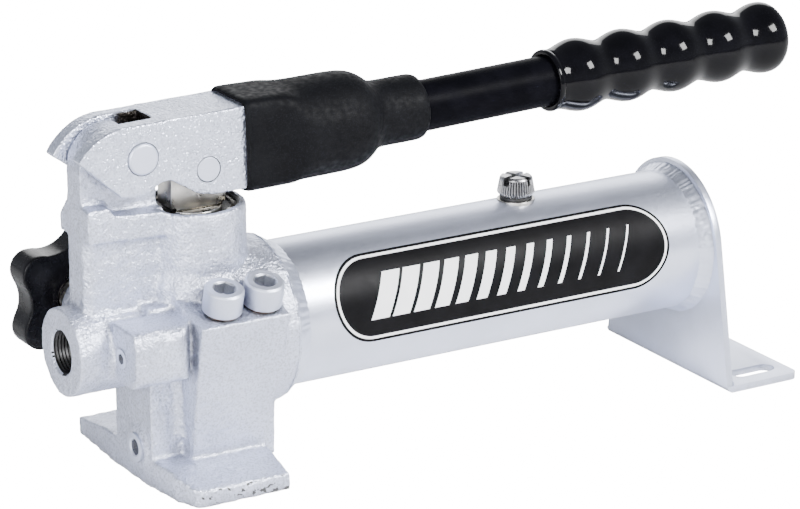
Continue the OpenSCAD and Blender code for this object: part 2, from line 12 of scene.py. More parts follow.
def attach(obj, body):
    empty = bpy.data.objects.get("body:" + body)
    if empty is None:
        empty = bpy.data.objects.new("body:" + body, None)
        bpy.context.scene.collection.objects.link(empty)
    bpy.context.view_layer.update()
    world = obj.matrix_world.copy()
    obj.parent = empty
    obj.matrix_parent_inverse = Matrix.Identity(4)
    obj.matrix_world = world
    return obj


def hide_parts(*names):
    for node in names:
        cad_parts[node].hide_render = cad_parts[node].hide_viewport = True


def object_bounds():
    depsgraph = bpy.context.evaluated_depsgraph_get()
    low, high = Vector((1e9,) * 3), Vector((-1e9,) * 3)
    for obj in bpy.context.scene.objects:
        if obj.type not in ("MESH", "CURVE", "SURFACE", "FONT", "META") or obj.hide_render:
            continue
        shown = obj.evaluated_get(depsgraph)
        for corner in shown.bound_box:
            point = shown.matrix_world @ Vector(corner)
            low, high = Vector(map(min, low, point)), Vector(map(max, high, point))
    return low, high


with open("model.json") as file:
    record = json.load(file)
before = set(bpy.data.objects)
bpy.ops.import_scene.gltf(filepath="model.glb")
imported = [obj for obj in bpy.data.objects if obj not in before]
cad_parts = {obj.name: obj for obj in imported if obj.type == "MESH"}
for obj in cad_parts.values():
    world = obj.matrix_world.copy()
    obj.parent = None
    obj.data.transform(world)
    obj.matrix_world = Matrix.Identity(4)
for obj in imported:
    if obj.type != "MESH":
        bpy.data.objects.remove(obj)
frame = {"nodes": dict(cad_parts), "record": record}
CAD_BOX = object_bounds()
NODES = frame["nodes"]
MM = 0.001

# Sizes shared with the CAD model, in millimetres and degrees. The radii of the pins, valves, release,
# relief, plug and filler are those of their holes
TUBE_R, TUBE_WALL = 30.0, 3.0
TUBE_Z = 58.2
TUBE_START = 23.0
BRACKET_X = 232.5
COLLAR_END = 31.0
PORT_X, PORT_Z = 59.4, 59.0
PORT_R, THREAD_R, THREAD_PITCH = 8.55, 9.15, 1.41
MOUTH_Z = 112.6
BORE_R = 12.0
GLAND_R = 18.0
PIVOT = (-28.0, 0.0, 137.0)
PIVOT_HOLE_R = 6.55
PIN_X, PIN_Z, PIN_HOLE_R = 28.4, -9.1, 5.02
LEVER_TILT = 1.1
BAR_END = 66.0
HANDLE_R, HANDLE_WALL, HANDLE_END = 10.65, 2.5, 238.0
HANDLE_Z, HANDLE_TILT = -5.05, 0.8
GRIP_START = 128.4
SEAT = ((-3.6, -30.4, 75.2), (14.4, -30.4, 75.2))
VALVE_LEAN = 15.0
SPOT_FACE_R, VALVE_HOLE_R = 8.5, 5.1
KNOB = (-34.7, 33.0, 68.0)
RELEASE_R = 8.0
RELIEF, RELIEF_R = (-44.5, -24.0, 61.0), 4.0
PLUG, PLUG_R = (-28.5, -4.2, 14.6), 6.0
FILLER_X, FILLER_R = 153.0, 8.0
LABEL_START, LABEL_W, LABEL_H = 49.0, 163.0, 18.2

# Cutters for the pins start this far from the middle plane, outside the 28 mm lever
PIN_REACH = 20.0

# Radiance that the camera sees in the floor and the sky, high enough to come out as plain white
CAMERA_WHITE = 16.0


def moved(x, y, z):
    return Matrix.Translation((x, y, z))


def turned(degrees, axis):
    return Matrix.Rotation(math.radians(degrees), 4, axis)


# Frames in millimetres. LEVER has +X along the lever; in the others +Z is the axis of the round parts
LEVER = moved(*PIVOT) @ turned(-LEVER_TILT, "Y")
HANDLE = LEVER @ moved(BAR_END, 0, HANDLE_Z) @ turned(-HANDLE_TILT, "Y") @ turned(90, "Y")
ALONG_X = turned(90, "Y")
ALONG_Y = turned(-90, "X")


# ---- mesh tools ----
def fillet(points, radius, steps=4):
    """An open outline with its corners rounded."""
    out = [np.array(points[0], float)]
    for before, corner, after in zip(points, points[1:], points[2:]):
        p = np.array(corner, float)
        a, b = np.array(before, float) - p, np.array(after, float) - p
        la, lb = np.linalg.norm(a), np.linalg.norm(b)
        cut = min(radius, 0.45 * la, 0.45 * lb)
        for k in range(steps + 1):
            t = k / steps
            out.append(p + a / la * cut * (1 - t) ** 2 + b / lb * cut * t ** 2)
    out.append(np.array(points[-1], float))
    return out


def mesh_of(name, verts, faces, place=Matrix.Identity(4)):
    """A mesh from points in millimetres."""
    mesh = bpy.data.meshes.new(name)
    mesh.from_pydata([tuple(v) for v in verts], [], faces)
    mesh.transform(Matrix.Scale(MM, 4) @ place)
    mesh.validate()
    return mesh


def loft(name, rings, place=Matrix.Identity(4), closed=False):
    """A skin over rings of equal point counts; its ends are capped, or it closes on itself."""
    rings = np.array(rings, float)
    count, around = rings.shape[:2]
    faces = []
    for i in range(count if closed else count - 1):
        j = (i + 1) % count
        for k in range(around):
            m = (k + 1) % around
            faces.append((i * around + k, i * around + m, j * around + m, j * around + k))
    if not closed:
        faces.append(tuple(range(around))[::-1])
        faces.append(tuple((count - 1) * around + k for k in range(around)))
    mesh = mesh_of(name, rings.reshape(-1, 3), faces, place)
    tidy_normals(mesh)
    return mesh


def tidy_normals(mesh):
    bm = bmesh.new()
    bm.from_mesh(mesh)
    bmesh.ops.remove_doubles(bm, verts=bm.verts, dist=1e-7)
    bmesh.ops.recalc_face_normals(bm, faces=bm.faces)
    bm.to_mesh(mesh)
    bm.free()


def lathe(name, profile, place=Matrix.Identity(4), around=96, closed=False, wobble=None):
    """A turned solid from (radius, height) points. wobble(angle, radius, height) gives the radius."""
    rings = []
    for r, z in profile:
        ring = []
        for k in range(around):
            a = 2 * math.pi * k / around
            q = max(r, 0.01) if wobble is None else wobble(a, r, z)
            ring.append((q * math.cos(a), q * math.sin(a), z))
        rings.append(ring)
    return loft(name, rings, place, closed)


def cooked(mesh, *steps):
    """The mesh after a chain of modifiers, each given as (type, settings)."""
    work = bpy.data.objects.new("work", mesh)
    bpy.context.scene.collection.objects.link(work)
    for kind, settings in steps:
        modifier = work.modifiers.new(kind, kind)
        for key, value in settings.items():
            setattr(modifier, key, value)
    bpy.context.view_layer.update()
    graph = bpy.context.evaluated_depsgraph_get()
    result = bpy.data.meshes.new_from_object(work.evaluated_get(graph))
    bpy.data.objects.remove(work)
    return result


def cut(mesh, cutters):
    """The mesh less each cutter mesh."""
    tools = []
    for cutter in cutters:
        tool = bpy.data.objects.new("cutter", cutter)
        bpy.context.scene.collection.objects.link(tool)
        tools.append(tool)
    steps = [("BOOLEAN", {"object": t, "operation": "DIFFERENCE", "solver": "MANIFOLD"}) for t in tools]
    result = cooked(mesh, *steps)
    for tool in tools:
        bpy.data.objects.remove(tool)
    return result


def piece(name, mesh, body, nodes, materials, sharp=35):
    """Puts a finished mesh in the scene in place of its CAD nodes."""
    obj = bpy.data.objects.new(name, mesh)
    bpy.context.scene.collection.objects.link(obj)
    chosen = np.zeros(len(mesh.polygons), np.int32)
    mesh.polygons.foreach_get("material_index", chosen)
    mesh.materials.clear()
    if isinstance(materials, list):
        for material in materials:
            mesh.materials.append(material)
        mesh.polygons.foreach_set("material_index", chosen)
    else:
        mesh.materials.append(materials)
    mesh.shade_smooth()
    mesh.set_sharp_from_angle(angle=math.radians(sharp))
    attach(obj, body)
    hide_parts(*nodes)
    return obj


def bevelled(node, width, segments=3, angle=28):
    """A copy of a machined CAD node with its edges broken."""
    mesh = NODES[node].data.copy()
    bm = bmesh.new()
    bm.from_mesh(mesh)
    bmesh.ops.remove_doubles(bm, verts=bm.verts, dist=1e-6)
    bmesh.ops.dissolve_limit(bm, angle_limit=math.radians(0.6), verts=bm.verts, edges=bm.edges)
    bm.to_mesh(mesh)
    bm.free()
    return cooked(mesh, ("BEVEL", {"width": width * MM, "segments": segments, "limit_method": "ANGLE",
                                   "angle_limit": math.radians(angle), "harden_normals": False}))


def cast(node, voxel, rounds, plugs, lump, lump_size):
    """A sand casting: the CAD node with its holes filled, edges softened and skin uneven.

    plugs are (place, radius, length), and all sizes are in millimetres. The dents are up to 1.2 times
    lump deep, and only go inwards.
    """
    mesh = NODES[node].data.copy()
    bm = bmesh.new()
    bm.from_mesh(mesh)
    bmesh.ops.remove_doubles(bm, verts=bm.verts, dist=1e-6)
    for place, radius, length in plugs:
        grow = place @ moved(0, 0, length / 2)
        grow.translation *= MM
        bmesh.ops.create_cone(bm, cap_ends=True, segments=48, radius1=radius * MM, radius2=radius * MM,
                              depth=length * MM, matrix=grow)
    bm.to_mesh(mesh)
    bm.free()
    mesh = cooked(mesh, ("REMESH", {"mode": "VOXEL", "voxel_size": voxel * MM}),
                  ("SMOOTH", {"factor": 0.5, "iterations": rounds}))
    count = len(mesh.vertices)
    co, normal = np.zeros(count * 3), np.zeros(count * 3)
    mesh.vertices.foreach_get("co", co)
    mesh.vertex_normals.foreach_get("vector", normal)
    co, normal = co.reshape(-1, 3), normal.reshape(-1, 3)
    low = co / (lump_size * MM)
    depth = np.array([noise.noise(Vector(p)) + 0.45 * noise.noise(Vector(p * 2.7)) for p in low])
    co += normal * (depth - 0.7)[:, None].clip(-1.2, 0) * lump * MM
    mesh.vertices.foreach_set("co", co.reshape(-1))
    return mesh


def paint_bores(mesh, bores):
    """Gives the second material to the faces in each bore: (place, radius, from, to) in millimetres."""
    centre = np.zeros(len(mesh.polygons) * 3)
    mesh.polygons.foreach_get("center", centre)
    centre = centre.reshape(-1, 3) / MM
    chosen = np.zeros(len(mesh.polygons), int)
    for place, radius, start, end in bores:
        back = np.array(place.inverted())
        local = centre @ back[:3, :3].T + back[:3, 3]
        inside = np.hypot(local[:, 0], local[:, 1]) < radius
        chosen[inside & (local[:, 2] > start) & (local[:, 2] < end)] = 1
    mesh.polygons.foreach_set("material_index", chosen)


# ---- materials ----
PAINT_METALLIC = 0.9
FLAKE, PIT = (0.80, 0.84, 0.96), (0.36, 0.38, 0.46)
FOOT_EDGE_Y, SLOT_END_X = -0.0437, -0.0202


class Look:
    """One procedural material. Sizes are in millimetres of the object's own coordinates."""

    def __init__(self, name, **sockets):
        self.material = bpy.data.materials.new(name)
        self.material.use_nodes = True
        self.tree = self.material.node_tree
        self.shader = self.tree.nodes["Principled BSDF"]
        self.place = self.add("ShaderNodeTexCoord").outputs["Object"]
        for key, value in sockets.items():
            self.shader.inputs[key.replace("_", " ")].default_value = value

    def add(self, kind, **settings):
        node = self.tree.nodes.new(kind)
        for key, value in settings.items():
            setattr(node, key, value)
        return node

    def link(self, source, target):
        self.tree.links.new(source, target)

    def noise(self, size, detail=2.0, stretch=None):
        node = self.add("ShaderNodeTexNoise")
        node.inputs["Scale"].default_value = 1 / (size * MM)
        node.inputs["Detail"].default_value = detail
        place = self.place
        if stretch:
            mapping = self.add("ShaderNodeMapping")
            mapping.inputs["Scale"].default_value = stretch
            self.link(self.place, mapping.inputs["Vector"])
            place = mapping.outputs["Vector"]
        self.link(place, node.inputs["Vector"])
        return node.outputs["Fac"]

    def cells(self, size):
        node = self.add("ShaderNodeTexVoronoi", feature="SMOOTH_F1")
        node.inputs["Scale"].default_value = 1 / (size * MM)
        self.link(self.place, node.inputs["Vector"])
        return node.outputs["Distance"]

    def math(self, kind, a, b=0.0, clamp=False):
        node = self.add("ShaderNodeMath", operation=kind, use_clamp=clamp)
        for socket, value in zip(node.inputs, (a, b)):
            if isinstance(value, (int, float)):
                socket.default_value = value
            else:
                self.link(value, socket)
        return node.outputs[0]

    def spread(self, value, low, high, out_low=0.0, out_high=1.0):
        node = self.add("ShaderNodeMapRange", interpolation_type="SMOOTHSTEP")
        self.link(value, node.inputs["Value"])
        limits = {"From Min": low, "From Max": high, "To Min": out_low, "To Max": out_high}
        for key, number in limits.items():
            node.inputs[key].default_value = number
        return node.outputs["Result"]

    def mix(self, amount, a, b, kind="MIX"):
        node = self.add("ShaderNodeMix", data_type="RGBA", blend_type=kind)
        if isinstance(amount, float):
            node.inputs[0].default_value = amount
        else:
            self.link(amount, node.inputs[0])
        for socket, value in ((node.inputs[6], a), (node.inputs[7], b)):
            if isinstance(value, tuple):
                socket.default_value = (*value, 1)
            else:
                self.link(value, socket)
        return node.outputs[2]

    def cavity(self, reach):
        """1 in the open, 0 deep in a corner."""
        node = self.add("ShaderNodeAmbientOcclusion", samples=6)
        node.inputs["Distance"].default_value = reach * MM
        return self.spread(node.outputs["AO"], 0.25, 0.95)

    def finish(self, colour, roughness, *bumps):
        """Links colour and roughness, and stacks bumps of (height, depth in millimetres)."""
        self.link(colour, self.shader.inputs["Base Color"])
        if roughness is not None:
            self.link(roughness, self.shader.inputs["Roughness"])
        last = None
        for height, depth in bumps:
            node = self.add("ShaderNodeBump")
            node.inputs["Distance"].default_value = depth * MM
            self.link(height, node.inputs["Height"])
            if last is not None:
                self.link(last, node.inputs["Normal"])
            last = node.outputs["Normal"]
        if last is not None:
            self.link(last, self.shader.inputs["Normal"])
        return self.material


def silver_paint(name, grain, grain_depth, lump_depth, light, dark, gloss=(0.32, 0.44),
                 painted_shade_strength=0.6, pitted=0.03, chips=False):
    """Aluminium paint: flakes, a slight cloudiness, pits, and painted shade that darkens the corners in
    patches.
    """
    look = Look(name, Metallic=PAINT_METALLIC)
    cloud = look.spread(look.noise(22, 3), 0.3, 0.7)
    flake = look.spread(look.noise(0.35, 1), 0.35, 0.65)
    colour = look.mix(cloud, dark, light)
    colour = look.mix(look.math("MULTIPLY", flake, 0.2), colour, FLAKE)
    pits = look.spread(look.noise(grain * 0.9, 3), 0.42, 0.68)
    colour = look.mix(look.math("MULTIPLY", pits, pitted), colour, PIT)
    if chips:
        place = look.add("ShaderNodeSeparateXYZ")
        look.link(look.place, place.inputs[0])
        edge = look.math("LESS_THAN", place.outputs["Y"], FOOT_EDGE_Y)
        spots = look.math("GREATER_THAN", look.noise(2.4, 3), 0.6)
        colour = look.mix(look.math("MULTIPLY", edge, spots), colour, (0.10, 0.098, 0.1))
    # painted shade: corners and recesses, found by ambient occlusion, are darkened towards grey, in patches
    # set by noise
    painted_shade = look.math("SUBTRACT", 1.0, look.cavity(8))
    painted_shade = look.math("MULTIPLY", painted_shade, look.spread(look.noise(3, 3), 0.25, 0.7, 0.45, 1.0))
    colour = look.mix(look.math("MULTIPLY", painted_shade, painted_shade_strength), colour, (0.13, 0.125, 0.13))
    rough = look.spread(look.noise(1.3, 3), 0.3, 0.7, *gloss)
    return look.finish(colour, rough, (look.noise(grain * 3.2, 2), lump_depth),
                       (look.noise(grain, 3), grain_depth))


def lever_paint():
    """Pebbled silver paint, with painted shade at the blind end of the fork slot."""
    look = Look("lever_paint", Metallic=PAINT_METALLIC)
    cloud = look.spread(look.noise(16, 3), 0.3, 0.7)
    flake = look.spread(look.noise(0.3, 1), 0.35, 0.65)
    colour = look.mix(cloud, (0.63, 0.67, 0.81), (0.71, 0.755, 0.91))
    colour = look.mix(look.math("MULTIPLY", flake, 0.2), colour, FLAKE)
    pits = look.spread(look.noise(0.9, 3), 0.42, 0.68)
    colour = look.mix(look.math("MULTIPLY", pits, 0.4), colour, PIT)
    # painted shade: the inner faces of the fork slot, towards its blind end, go near black
    place = look.add("ShaderNodeSeparateXYZ")
    look.link(look.place, place.inputs[0])
    side = look.math("ABSOLUTE", place.outputs["Y"])
    inside = look.spread(side, 0.0069, 0.0073, 1.0, 0.0)
    ragged = look.math("MULTIPLY", look.noise(5, 2), 0.006)
    back = look.spread(look.math("ADD", place.outputs["X"], ragged), -0.030, -0.024)
    back = look.math("MULTIPLY", back, look.math("LESS_THAN", place.outputs["X"], SLOT_END_X))
    colour = look.mix(look.math("MULTIPLY", inside, back), colour, (0.02, 0.017, 0.015))
    rough = look.spread(look.noise(1.3, 3), 0.3, 0.7, 0.30, 0.44)
    return look.finish(colour, rough, (look.noise(2.6, 2), 0.28), (look.cells(1.0), 0.5))


def bare_metal(name, light, dark, gloss=(0.2, 0.38)):
    """Machined metal: fine turning lines, smears of oil and a little painted shade in the corners."""
    look = Look(name, Metallic=1.0)
    lines = look.noise(2.4, 2, (1, 1, 12))
    smear = look.spread(look.noise(6, 3), 0.35, 0.65)
    colour = look.mix(smear, dark, light)
    # painted shade: the corners, found by ambient occlusion, are darkened towards black
    corners = look.math("MULTIPLY", look.math("SUBTRACT", 1.0, look.cavity(3)), 0.7)
    colour = look.mix(corners, colour, (0.03, 0.028, 0.025))
    rough = look.spread(look.noise(4, 3), 0.3, 0.7, *gloss)
    return look.finish(colour, rough, (lines, 0.02), (look.noise(0.5, 2), 0.008))


def black_gloss(name, base, gloss, ripple, ripple_depth, shine):
    """Black paint or moulded plastic: deep, slightly uneven, with faint handling marks."""
    look = Look(name, Specular_IOR_Level=shine)
    marks = look.spread(look.noise(9, 4), 0.35, 0.7)
    colour = look.mix(marks, base, tuple(c * 1.7 for c in base))
    rough = look.spread(look.noise(5, 4), 0.3, 0.75, *gloss)
    return look.finish(colour, rough, (look.noise(ripple, 1), ripple_depth), (look.noise(0.6, 2), 0.004))


def sleeve_rubber():
    """Matte foam-like rubber with a fine pebble and a dusty bloom."""
    look = Look("sleeve_rubber", Specular_IOR_Level=0.08)
    bloom = look.spread(look.noise(13, 4), 0.3, 0.75)
    speck = look.spread(look.noise(0.5, 2), 0.5, 0.72)
    colour = look.mix(bloom, (0.0016, 0.0017, 0.0024), (0.003, 0.0032, 0.0042))
    colour = look.mix(look.math("MULTIPLY", speck, 0.4), colour, (0.012, 0.013, 0.017))
    rough = look.spread(look.noise(2.2, 3), 0.3, 0.7, 0.52, 0.72)
    return look.finish(colour, rough, (look.cells(0.9), 0.012), (look.noise(0.45, 3), 0.02))


def soft_seal(name, light, dark, rough):
    """Rubber or white plastic of the seals inside."""
    look = Look(name)
    colour = look.mix(look.noise(4, 3), dark, light)
    roughness = look.spread(look.noise(1.5, 2), 0.3, 0.7, rough - 0.1, rough + 0.1)
    return look.finish(colour, roughness, (look.noise(0.8, 2), 0.02))


def label_film():
    """A black film with a light rule round it and slanting bars that get thinner to the right."""
    look = Look("label_film", Specular_IOR_Level=0.08)
    uv = look.add("ShaderNodeSeparateXYZ")
    look.link(look.add("ShaderNodeTexCoord").outputs["UV"], uv.inputs[0])
    x = look.math("MULTIPLY", uv.outputs["X"], LABEL_W)
    y = look.math("MULTIPLY", look.math("SUBTRACT", uv.outputs["Y"], 0.5), 2 * LABEL_H)
    from_middle = look.math("ABSOLUTE", look.math("SUBTRACT", x, LABEL_W / 2))
    over = look.math("MAXIMUM", look.math("SUBTRACT", from_middle, LABEL_W / 2 - LABEL_H), 0.0)
    squares = look.math("ADD", look.math("MULTIPLY", over, over), look.math("MULTIPLY", y, y))
    reach = look.math("SQRT", squares)
    rule = look.math("MULTIPLY", look.spread(reach, LABEL_H - 2.3, LABEL_H - 2.1),
                     look.spread(reach, LABEL_H - 1.2, LABEL_H - 1.0, 1.0, 0.0))
    slant = look.math("SUBTRACT", x, look.math("MULTIPLY", y, 0.45))
    phase = look.math("FRACT", look.math("DIVIDE", slant, 10.0))
    width = look.spread(slant, 20, 140, 0.86, 0.10)
    bars = look.math("LESS_THAN", phase, width)
    inside = look.math("LESS_THAN", look.math("ABSOLUTE", y), 9.4)
    slant_from_middle = look.math("ABSOLUTE", look.math("SUBTRACT", slant, LABEL_W / 2))
    across = look.math("LESS_THAN", slant_from_middle, 61.5)
    bars = look.math("MULTIPLY", bars, look.math("MULTIPLY", inside, across))
    ink = look.math("MAXIMUM", rule, bars)
    wear, fade = look.spread(look.noise(14, 3), 0.3, 0.7), look.spread(look.noise(9, 3), 0.3, 0.7)
    black = look.mix(wear, (0.002, 0.002, 0.0025), (0.004, 0.004, 0.005))
    white = look.mix(fade, (0.90, 0.90, 0.92), (0.95, 0.95, 0.96))
    rough = look.spread(look.noise(6, 3), 0.3, 0.7, 0.40, 0.46)
    return look.finish(look.mix(ink, black, white), rough, (look.noise(3, 2), 0.003))


SILVER, SILVER_DARK = (0.72, 0.76, 0.92), (0.63, 0.665, 0.81)
LOOKS = {
    "cast_paint": silver_paint("cast_paint", 1.0, 0.5, 0.75, SILVER, SILVER_DARK, painted_shade_strength=0.75, pitted=0.6,
                               chips=True),
    "silver_paint": silver_paint("silver_paint", 0.3, 0.015, 0.02, SILVER, (0.66, 0.70, 0.84), (0.30, 0.36)),
    "steel": bare_metal("steel", (0.62, 0.60, 0.57), (0.50, 0.49, 0.47), (0.26, 0.36)),
    "spring_steel": bare_metal("spring_steel", (0.45, 0.45, 0.47), (0.30, 0.30, 0.32)),
    "dark_steel": bare_metal("dark_steel", (0.08, 0.07, 0.05), (0.03, 0.028, 0.022), (0.15, 0.4)),
    "copper": bare_metal("copper", (0.20, 0.13, 0.09), (0.10, 0.07, 0.05)),
    "seal_rubber": soft_seal("seal_rubber", (0.02, 0.02, 0.02), (0.008, 0.008, 0.008), 0.45),
    "ptfe": soft_seal("ptfe", (0.8, 0.78, 0.72), (0.7, 0.68, 0.62), 0.4),
    "black_paint": black_gloss("black_paint", (0.002, 0.002, 0.003), (0.34, 0.42), 6, 0.01, 0.012),
    "sleeve_rubber": sleeve_rubber(),
    "grip_vinyl": black_gloss("grip_vinyl", (0.0015, 0.0015, 0.0022), (0.07, 0.12), 11, 0.03, 0.13),
    "knob_plastic": black_gloss("knob_plastic", (0.003, 0.003, 0.004), (0.2, 0.32), 5, 0.02, 0.15),
    "label_film": label_film(),
}
SCREW_PAINT = silver_paint("screw_paint", 0.4, 0.012, 0.02, SILVER, (0.62, 0.66, 0.79), (0.42, 0.52), 0.5)
# painted shade: a darker copy of the silver paint for the insides of the screw sockets
SOCKET_SHADE_PAINT = silver_paint("socket_shade_paint", 0.4, 0.012, 0.02, (0.33, 0.35, 0.40), (0.24, 0.25, 0.30),
                            (0.42, 0.52), 0.6)
CAP_STEEL = bare_metal("cap_steel", (0.44, 0.44, 0.45), (0.30, 0.30, 0.31), (0.24, 0.36))
# painted shade: near-black bare metal for the walls of bores and pin holes, standing in for the shade inside
# them
BORE_SHADE_METAL = bare_metal("bore_shade_metal", (0.07, 0.07, 0.072), (0.03, 0.03, 0.031), (0.35, 0.5))


def dress_cad_nodes():
    for part in frame["record"]["subparts"]:
        mesh = NODES[part["node"]].data
        mesh.materials.clear()
        mesh.materials.append(LOOKS[part["material_slot"]])


# ---- head casting and lever ----
def valve_place(i):
    return moved(*SEAT[i]) @ turned(VALVE_LEAN, "X")


def bore(place, profile, soft=0.25):
    """A cutter turned from (radius, height) points, with its corners softened."""
    outline = [(0.0, profile[0][1])] + profile + [(0.0, profile[-1][1])]
    return lathe("cutter", fillet(outline, soft, 2), place, 72)


def port_thread():
    """The outlet's bore with the grooves of a pipe thread."""
    start, turns = 1.4, 8
    outline = [(10.6, -2.0), (9.9, 0.0), (8.75, 1.2)]
    for i in range(turns):
        z = start + THREAD_PITCH * i
        outline += [(PORT_R, z), (THREAD_R, z + THREAD_PITCH * 0.5)]
    return outline + [(PORT_R, start + THREAD_PITCH * turns), (PORT_R, 15.0), (3.0, 15.1), (3.0, 22.0)]


def head():
    """The pump head: a casting with its machined holes cut crisp afterwards."""
    port = moved(-PORT_X, 0, PORT_Z) @ ALONG_X
    mouth = moved(0, 0, MOUTH_Z)
    pivot = moved(PIVOT[0], -PIN_REACH, PIVOT[2]) @ ALONG_Y
    release = moved(KNOB[0], 14, KNOB[2]) @ ALONG_Y
    relief = moved(RELIEF[0] - 1, RELIEF[1], RELIEF[2]) @ ALONG_X
    plug = moved(PLUG[0] - 2, PLUG[1], PLUG[2]) @ ALONG_X
    socket = moved(TUBE_START, 0, TUBE_Z) @ ALONG_X
    plugs = [(port @ moved(0, 0, 0.2), 10.3, 16), (mouth @ moved(0, 0, -60.5), 19.7, 60.2),
             (moved(PIVOT[0], -6.0, PIVOT[2]) @ ALONG_Y, 7.2, 12.0),
             (moved(KNOB[0], 0, KNOB[2]) @ ALONG_Y, 8.6, 24.9), (relief @ moved(0, 0, 1.1), 4.6, 20),
             (plug @ moved(0, 0, 1.0), 6.8, 14)]
    mesh = cast("pump_head", 0.75, 11, plugs, 0.3, 5.0)
    cutters = [bore(port, port_thread(), 0.12),
               bore(mouth, [(GLAND_R, -23), (GLAND_R, -1.2), (GLAND_R + 2.0, 0.6), (GLAND_R + 2.0, 4)]),
               bore(mouth, [(BORE_R + 0.1, -60), (BORE_R + 0.1, -20)]),
               bore(pivot, [(PIVOT_HOLE_R, 0), (PIVOT_HOLE_R, 2 * PIN_REACH)]),
               bore(release, [(RELEASE_R, 0), (RELEASE_R, 20)]),
               bore(relief, [(RELIEF_R + 0.3, -4), (RELIEF_R, 1.4), (RELIEF_R, 16)]),
               bore(plug, [(PLUG_R + 0.6, -3), (PLUG_R, 1.6), (PLUG_R, 12)]),
               bore(socket, [(TUBE_R + 0.05, 0), (TUBE_R + 0.05, 40)])]
    for i in (0, 1):
        profile = [(VALVE_HOLE_R, -24), (VALVE_HOLE_R, -0.1), (SPOT_FACE_R, 0.02), (SPOT_FACE_R, 30)]
        cutters.append(bore(valve_place(i), profile, 0.1))
    mesh = cut(mesh, cutters)
    # the bore walls take the near-black bore metal as painted shade
    paint_bores(mesh, [(port, 9.7, 0.6, 30), (mouth, 19.0, -60, -0.35), (relief, 4.05, 1.6, 20),
                       (plug, 6.05, 2, 20), (release, 8.05, -20, 12)])
    piece("head_casting", mesh, "pump", ["pump_head"], [LOOKS["cast_paint"], BORE_SHADE_METAL], 40)


def pin_hole(place, r, gap):
    """A cutter through both cheeks, wider by gap where the pin's ends show."""
    wide = r + gap
    profile = [(wide, 0), (wide, 6.9), (r, 7.2), (r, 32.8), (wide, 33.1), (wide, 2 * PIN_REACH)]
    return bore(place, profile, 0.05)


def lever():
    """The forked lever, with a gap round the ends of both pins, its walls near black as painted shade."""
    # place, radius, gap and radius of the filling for each pin
    holes = [(LEVER @ moved(0, -PIN_REACH, 0) @ ALONG_Y, PIVOT_HOLE_R, 0.25, 7.4),
             (LEVER @ moved(PIN_X, -PIN_REACH, PIN_Z) @ ALONG_Y, PIN_HOLE_R, 0.3, 5.8)]
    plugs = [(place @ moved(0, 0, z), filling, 7.3) for place, _, _, filling in holes for z in (6, 26.7)]
    mesh = cast("lever", 0.6, 5, plugs, 0.16, 6.0)
    mesh = cut(mesh, [pin_hole(place, r, gap) for place, r, gap, _ in holes])
    # the walls of the pin holes take the near-black bore metal as painted shade
    paint_bores(mesh, [(place, r + gap + 0.04, 6.1, 33.9) for place, r, gap, _ in holes])
    piece("lever_casting", mesh, "lever", ["lever"], [lever_paint(), BORE_SHADE_METAL], 40)


# ---- handle ----
# The boot: distance along the lever, half width, half height, height of the middle, squareness
BOOT_SECTIONS = [(56, 14.05, 17.05, -3.0, 16), (46.6, 14.05, 17.05, -3.0, 16), (45.2, 14.3, 17.3, -3.0, 14),
                 (44.75, 14.9, 17.9, -3.0, 9), (44.75, 15.3, 18.4, -3.0, 7), (45.3, 15.8, 18.95, -3.0, 6.5),
                 (46.4, 16.0, 19.2, -3.0, 8), (52, 16.1, 19.15, -3.05, 8), (57, 16.3, 19.1, -3.1, 7.6),
                 (61.5, 16.7, 19.05, -3.15, 7), (64.5, 17.4, 19.1, -3.25, 6), (66.5, 18.2, 19.2, -3.4, 4.8),
                 (68.5, 19.2, 19.4, -3.5, 3.5), (71, 19.9, 19.8, -3.6, 2.7), (74, 20.3, 20.2, -3.65, 2.3),
                 (78, 20.55, 20.5, -3.7, 2.1),
                 (85, 20.65, 20.65, -3.7, 2), (92, 20.6, 20.6, -3.7, 2), (97, 20.35, 20.35, -3.7, 2),
                 (100.5, 19.7, 19.7, -3.7, 2), (103.3, 18.5, 18.5, -3.7, 2), (105.5, 17.0, 17.0, -3.7, 2),
                 (107.2, 15.5, 15.5, -3.7, 2), (108.8, 14.4, 14.4, -3.7, 2), (110.8, 13.85, 13.85, -3.7, 2),
                 (114, 13.7, 13.7, -3.7, 2), (122, 13.75, 13.75, -3.7, 2), (129.5, 13.7, 13.7, -3.7, 2),
                 (130.9, 13.3, 13.3, -3.7, 2), (131.45, 12.5, 12.5, -3.7, 2), (131.4, 11.4, 11.4, -3.8, 2),
                 (130.8, 10.75, 10.75, -4.1, 2), (122, 10.7, 10.7, -4.2, 2)]


def sleeve():
    """The rubber boot: square round the lever bar, swelling to a round bulb and a neck."""
    dense = []
    for a, b in zip(BOOT_SECTIONS, BOOT_SECTIONS[1:]):
        steps = max(1, int(abs(b[0] - a[0]) / 1.3))
        for k in range(steps):
            t = k / steps
            dense.append([p + (q - p) * t for p, q in zip(a, b)])
    dense.append(list(BOOT_SECTIONS[-1]))
    rings = []
    around = 160
    for x, w, h, mid, square in dense:
        ring = []
        for k in range(around):
            a = 2 * math.pi * k / around
            c, s = math.cos(a), math.sin(a)
            r = (abs(c / w) ** square + abs(s / h) ** square) ** (-1 / square)
            p = Vector((x, r * c, mid + r * s))
            r -= 0.12 * (0.5 + 0.5 * noise.noise(p / 9.0)) if 44.8 < x < 131 and w > 15 else 0.0
            ring.append((x, r * c, mid + r * s))
        rings.append(ring)
    mesh = loft("sleeve", rings, LEVER)
    mesh = cooked(mesh, ("SMOOTH", {"factor": 0.5, "iterations": 3}))
    piece("handle_sleeve_boot", mesh, "lever", ["handle_sleeve"], LOOKS["sleeve_rubber"], 50)


def handle_bar():
    inner, start = HANDLE_R - HANDLE_WALL, -5.5
    outline = [(inner, start), (HANDLE_R, start), (HANDLE_R, HANDLE_END), (inner, HANDLE_END)]
    mesh = lathe("tube", fillet(outline, 0.5), HANDLE, 128, True)
    piece("handle_bar", mesh, "lever", ["handle_tube"], LOOKS["black_paint"])


